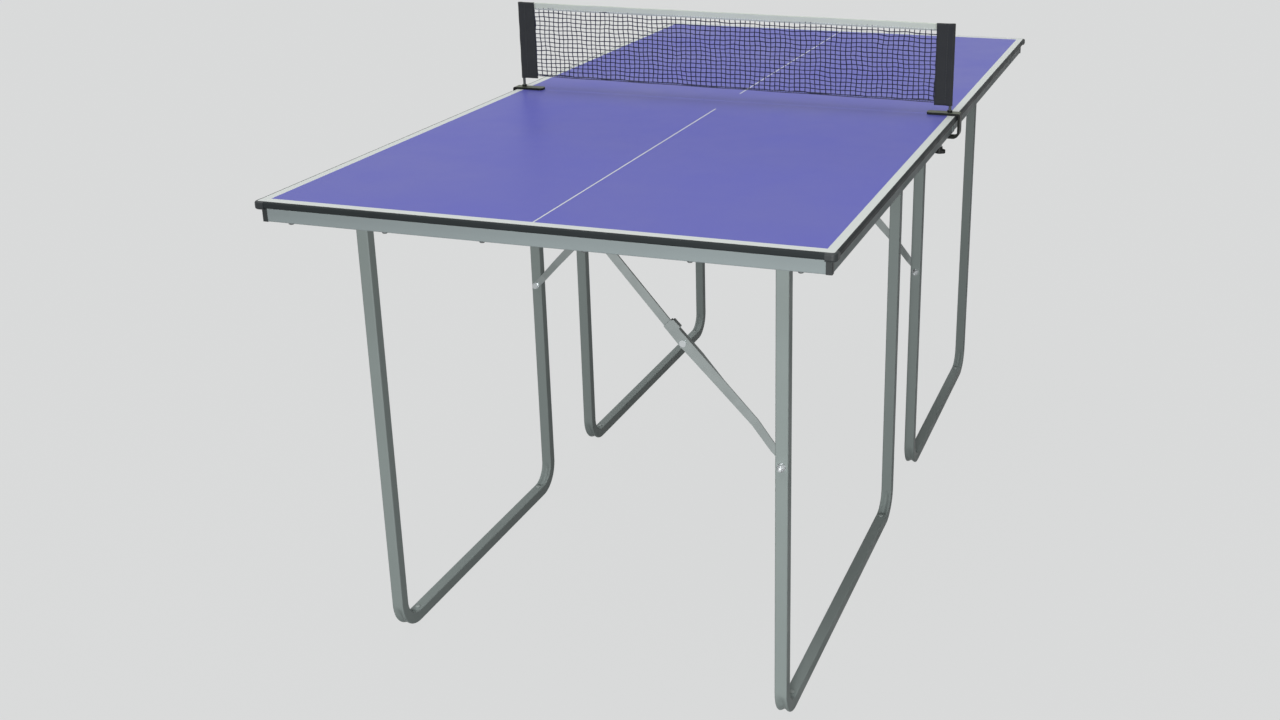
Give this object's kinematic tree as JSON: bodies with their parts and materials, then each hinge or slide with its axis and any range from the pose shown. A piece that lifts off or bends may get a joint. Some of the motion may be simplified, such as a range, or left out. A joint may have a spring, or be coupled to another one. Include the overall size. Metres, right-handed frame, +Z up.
{
  "type": "ping pong table",
  "caption": "Compact folding table tennis table in two butted halves on braced U-shaped tube legs, with a clamp-on net across the seam.",
  "frame": {"origin": "on the floor under the middle of the seam between the two halves", "axes": "+X across the table to the right seen from the pictured end, +Y along the table towards the far end, +Z up"},
  "size_m": [0.8576, 1.6892, 0.918],
  "materials": {
    "table_top": "painted violet blue, satin",
    "edge_band": "satin black",
    "corner_cap": "moulded black",
    "rail": "satin grey powder coat",
    "leg_tube": "satin grey powder coat",
    "bracket": "zinc plated",
    "link": "zinc plated",
    "fastener": "bright zinc",
    "net": "knotless dark cord",
    "tape": "white woven tape",
    "hem": "dark woven tape",
    "sleeve": "black woven sleeve",
    "post": "satin black",
    "clamp": "satin black",
    "clamp_pad": "black",
    "clamp_screw": "zinc plated",
    "knob": "moulded black"
  },
  "bodies": {
    "near_half": {"near_top_board": "table_top", "near_edge_band": "edge_band", "near_corner_caps": "corner_cap", "near_right_rail": "rail", "near_left_rail": "rail", "near_end_rail": "rail", "near_seam_rail": "rail", "near_rail_screws": "fastener", "near_leg_brackets": "bracket", "near_brace_brackets": "bracket", "near_pivot_bolts": "fastener", "right_clamp": "clamp", "left_clamp": "clamp", "net_posts": "post", "net_sleeves": "sleeve", "net": "net", "net_top_tape": "tape", "net_bottom_hem": "hem"},
    "far_half": {"far_top_board": "table_top", "far_edge_band": "edge_band", "far_corner_caps": "corner_cap", "far_right_rail": "rail", "far_left_rail": "rail", "far_end_rail": "rail", "far_seam_rail": "rail", "far_rail_screws": "fastener", "far_leg_brackets": "bracket", "far_brace_brackets": "bracket", "far_pivot_bolts": "fastener"},
    "near_wide_leg": {"near_wide_leg": "leg_tube", "near_wide_leg_nut": "fastener"},
    "near_wide_upper_link": {"near_wide_upper_link": "link"},
    "near_wide_lower_link": {"near_wide_lower_link": "link", "near_wide_knuckle_rivet": "fastener", "near_wide_leg_bolt": "fastener"},
    "near_narrow_leg": {"near_narrow_leg": "leg_tube", "near_narrow_leg_nut": "fastener"},
    "near_narrow_upper_link": {"near_narrow_upper_link": "link"},
    "near_narrow_lower_link": {"near_narrow_lower_link": "link", "near_narrow_knuckle_rivet": "fastener", "near_narrow_leg_bolt": "fastener"},
    "far_wide_leg": {"far_wide_leg": "leg_tube", "far_wide_leg_nut": "fastener"},
    "far_wide_upper_link": {"far_wide_upper_link": "link"},
    "far_wide_lower_link": {"far_wide_lower_link": "link", "far_wide_knuckle_rivet": "fastener", "far_wide_leg_bolt": "fastener"},
    "far_narrow_leg": {"far_narrow_leg": "leg_tube", "far_narrow_leg_nut": "fastener"},
    "far_narrow_upper_link": {"far_narrow_upper_link": "link"},
    "far_narrow_lower_link": {"far_narrow_lower_link": "link", "far_narrow_knuckle_rivet": "fastener", "far_narrow_leg_bolt": "fastener"},
    "right_clamp_pad": {"right_clamp_pad": "clamp_pad"},
    "right_clamp_screw": {"right_clamp_screw": "clamp_screw", "right_clamp_knob": "knob"},
    "left_clamp_pad": {"left_clamp_pad": "clamp_pad"},
    "left_clamp_screw": {"left_clamp_screw": "clamp_screw", "left_clamp_knob": "knob"}
  },
  "joints": [
    {"name": "halves_part", "type": "slide", "parent": "near_half", "child": "far_half", "axis": [0, 1, 0], "range_m": [0, 0.25]},
    {"name": "near_wide_leg_fold", "type": "hinge", "parent": "near_half", "child": "near_wide_leg", "pos_m": [0.332, -0.412, 0.724], "axis": [0, 1, 0], "range_deg": [0, 90]},
    {"name": "near_wide_upper_link_swing", "type": "hinge", "parent": "near_half", "child": "near_wide_upper_link", "pos_m": [0.052, -0.738, 0.724], "axis": [0, 1, 0], "range_deg": [-49.17, 0]},
    {"name": "near_wide_knuckle_bend", "type": "hinge", "parent": "near_wide_upper_link", "child": "near_wide_lower_link", "pos_m": [0.17942, -0.738, 0.57654], "axis": [0, 1, 0], "range_deg": [0, 183.62]},
    {"name": "near_narrow_leg_fold", "type": "hinge", "parent": "near_half", "child": "near_narrow_leg", "pos_m": [-0.332, -0.4275, 0.724], "axis": [0, -1, 0], "range_deg": [0, 90]},
    {"name": "near_narrow_upper_link_swing", "type": "hinge", "parent": "near_half", "child": "near_narrow_upper_link", "pos_m": [-0.052, -0.167, 0.724], "axis": [0, -1, 0], "range_deg": [-49.17, 0]},
    {"name": "near_narrow_knuckle_bend", "type": "hinge", "parent": "near_narrow_upper_link", "child": "near_narrow_lower_link", "pos_m": [-0.17942, -0.167, 0.57654], "axis": [0, -1, 0], "range_deg": [0, 183.62]},
    {"name": "far_wide_leg_fold", "type": "hinge", "parent": "far_half", "child": "far_wide_leg", "pos_m": [-0.332, 0.412, 0.724], "axis": [0, -1, 0], "range_deg": [0, 90]},
    {"name": "far_wide_upper_link_swing", "type": "hinge", "parent": "far_half", "child": "far_wide_upper_link", "pos_m": [-0.052, 0.738, 0.724], "axis": [0, -1, 0], "range_deg": [-49.17, 0]},
    {"name": "far_wide_knuckle_bend", "type": "hinge", "parent": "far_wide_upper_link", "child": "far_wide_lower_link", "pos_m": [-0.17942, 0.738, 0.57654], "axis": [0, -1, 0], "range_deg": [0, 183.62]},
    {"name": "far_narrow_leg_fold", "type": "hinge", "parent": "far_half", "child": "far_narrow_leg", "pos_m": [0.332, 0.4275, 0.724], "axis": [0, 1, 0], "range_deg": [0, 90]},
    {"name": "far_narrow_upper_link_swing", "type": "hinge", "parent": "far_half", "child": "far_narrow_upper_link", "pos_m": [0.052, 0.167, 0.724], "axis": [0, 1, 0], "range_deg": [-49.17, 0]},
    {"name": "far_narrow_knuckle_bend", "type": "hinge", "parent": "far_narrow_upper_link", "child": "far_narrow_lower_link", "pos_m": [0.17942, 0.167, 0.57654], "axis": [0, 1, 0], "range_deg": [0, 183.62]},
    {"name": "right_clamp_travel", "type": "slide", "parent": "near_half", "child": "right_clamp_pad", "axis": [0, 0, -1], "range_m": [0, 0.0025]},
    {"name": "right_clamp_turn", "type": "hinge", "parent": "right_clamp_pad", "child": "right_clamp_screw", "pos_m": [0.3935, 0, 0.71], "axis": [0, 0, -1], "range_deg": [0, 720]},
    {"name": "left_clamp_travel", "type": "slide", "parent": "near_half", "child": "left_clamp_pad", "axis": [0, 0, -1], "range_m": [0, 0.0025]},
    {"name": "left_clamp_turn", "type": "hinge", "parent": "left_clamp_pad", "child": "left_clamp_screw", "pos_m": [-0.3935, 0, 0.71], "axis": [0, 0, -1], "range_deg": [0, 720]}
  ],
  "couplings": [
    {"joint": "near_wide_upper_link_swing", "follows": "near_wide_leg_fold", "ratio": -0.54634},
    {"joint": "near_wide_knuckle_bend", "follows": "near_wide_leg_fold", "ratio": 2.0402},
    {"joint": "near_narrow_upper_link_swing", "follows": "near_narrow_leg_fold", "ratio": -0.54634},
    {"joint": "near_narrow_knuckle_bend", "follows": "near_narrow_leg_fold", "ratio": 2.0402},
    {"joint": "far_wide_upper_link_swing", "follows": "far_wide_leg_fold", "ratio": -0.54634},
    {"joint": "far_wide_knuckle_bend", "follows": "far_wide_leg_fold", "ratio": 2.0402},
    {"joint": "far_narrow_upper_link_swing", "follows": "far_narrow_leg_fold", "ratio": -0.54634},
    {"joint": "far_narrow_knuckle_bend", "follows": "far_narrow_leg_fold", "ratio": 2.0402},
    {"joint": "right_clamp_travel", "follows": "right_clamp_turn", "m_per_rad": 0.00019894},
    {"joint": "left_clamp_travel", "follows": "left_clamp_turn", "m_per_rad": 0.00019894}
  ]
}
